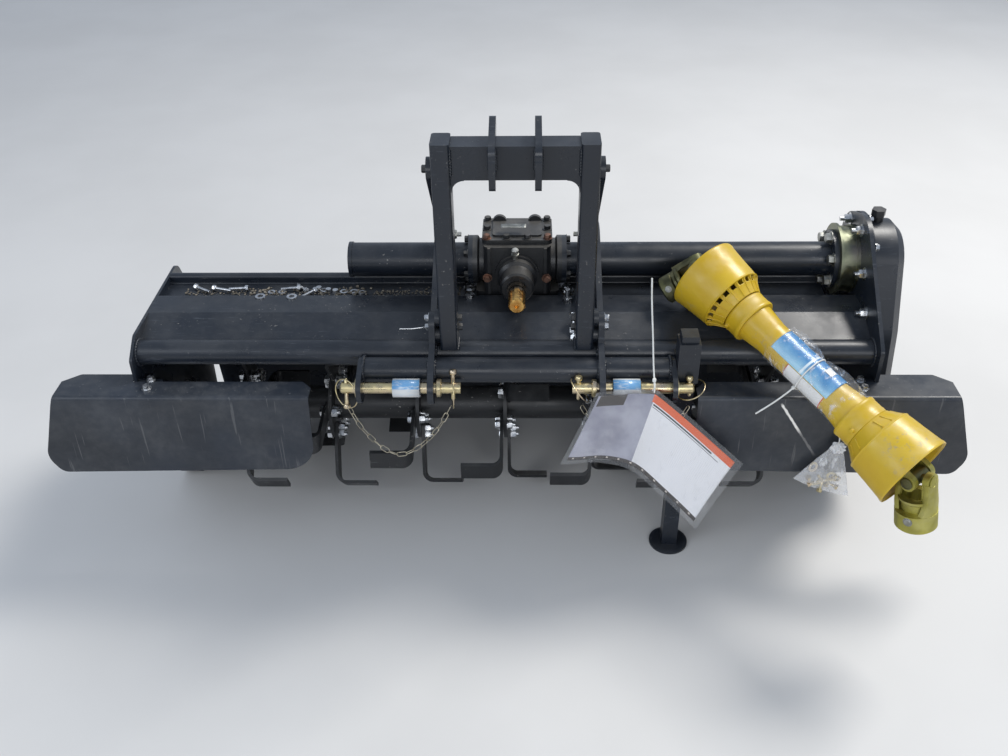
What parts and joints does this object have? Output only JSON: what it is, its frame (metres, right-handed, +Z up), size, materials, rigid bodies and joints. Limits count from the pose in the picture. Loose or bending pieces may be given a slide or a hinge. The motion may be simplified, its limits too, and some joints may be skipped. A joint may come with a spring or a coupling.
{
  "type": "rotary tiller",
  "caption": "Tractor-mounted rotary tiller: three-point hitch frame, gearbox and side drive turn a tined rotor under a hood, with folded front guards, tailboard, stand and driveline.",
  "frame": {"origin": "on the ground under the middle of the part's bounding box; the side plates stand evenly about it", "axes": "+X towards the side drive case, +Y to the rear, away from the tractor, +Z up; the lower hitch pins lie along X"},
  "size_m": [1.8898, 0.8112, 0.953],
  "materials": {
    "frame_paint": "semi-gloss black paint",
    "gearbox_iron": "black painted casting",
    "tine_steel": "black dipped steel",
    "zinc": "bright zinc plate",
    "yellow_zinc": "yellow chromate on zinc",
    "drum_zinc": "dull olive chromate",
    "shaft_steel": "steel with an amber rust preventive",
    "guard_plastic": "yellow polyethylene",
    "yoke_steel": "forged steel, yellow finish",
    "tag_card": "laminated card",
    "booklet_paper": "printed paper in clear film",
    "bag_film": "clear bag of fittings"
  },
  "bodies": {
    "frame": {"bearing_cap": "gearbox_iron", "booklet": "booklet_paper", "brace_brackets": "frame_paint", "drive_drum": "drum_zinc", "drive_tube": "frame_paint", "driveline_collars": "guard_plastic", "driveline_cones": "guard_plastic", "driveline_tube": "guard_plastic", "filler_plug": "zinc", "front_tube": "frame_paint", "gear_case": "frame_paint", "gearbox_base": "frame_paint", "gearbox_cover": "gearbox_iron", "gearbox_housing": "gearbox_iron", "guard_left": "frame_paint", "guard_right": "frame_paint", "hang_tag": "tag_card", "hinge_rod": "frame_paint", "hitch_lugs": "frame_paint", "hitch_plate_left": "frame_paint", "hitch_plate_right": "frame_paint", "hitch_tube": "frame_paint", "hood": "frame_paint", "hood_box": "frame_paint", "lower_pins": "yellow_zinc", "mast_beam": "frame_paint", "mast_braces": "frame_paint", "mast_posts": "frame_paint", "parts_bag": "bag_film", "pin_bushings": "zinc", "rotor_bearing": "frame_paint", "side_plate_left": "frame_paint", "side_plate_right": "frame_paint", "skids": "frame_paint", "stand_sleeve": "frame_paint", "stub_tube": "frame_paint", "top_link_ears": "frame_paint", "yoke_cross_top": "yoke_steel", "yoke_inner_low": "yoke_steel", "yoke_inner_top": "yoke_steel", "yoke_outer_top": "yoke_steel"},
    "input": {"input_shaft": "shaft_steel"},
    "rotor": {"rotor": "tine_steel"},
    "tailboard": {"tailboard": "frame_paint"},
    "stand": {"stand_leg": "frame_paint"},
    "yoke_low": {"yoke_cross_low": "yoke_steel", "yoke_outer_low": "yoke_steel"}
  },
  "joints": [
    {"name": "rotor_spin", "type": "hinge", "parent": "frame", "child": "rotor", "pos_m": [0, 0.114, 0.22], "axis": [1, 0, 0], "continuous": true},
    {"name": "input_spin", "type": "hinge", "parent": "frame", "child": "input", "pos_m": [0.028, -0.018, 0.555], "axis": [0, 1, 0], "continuous": true},
    {"name": "tailboard_hinge", "type": "hinge", "parent": "frame", "child": "tailboard", "pos_m": [0, 0.223, 0.465], "axis": [1, 0, 0], "range_deg": [0, 60]},
    {"name": "stand_slide", "type": "slide", "parent": "frame", "child": "stand", "axis": [0, 0, 1], "range_m": [0, 0.12]},
    {"name": "yoke_low_swing", "type": "hinge", "parent": "frame", "child": "yoke_low", "pos_m": [0.75337, -0.35905, 0.40242], "axis": [-0.7696, -0.6378, -0.0293], "range_deg": [-2, 120]}
  ],
  "couplings": [
    {"joint": "rotor_spin", "follows": "input_spin", "ratio": 0.36}
  ]
}
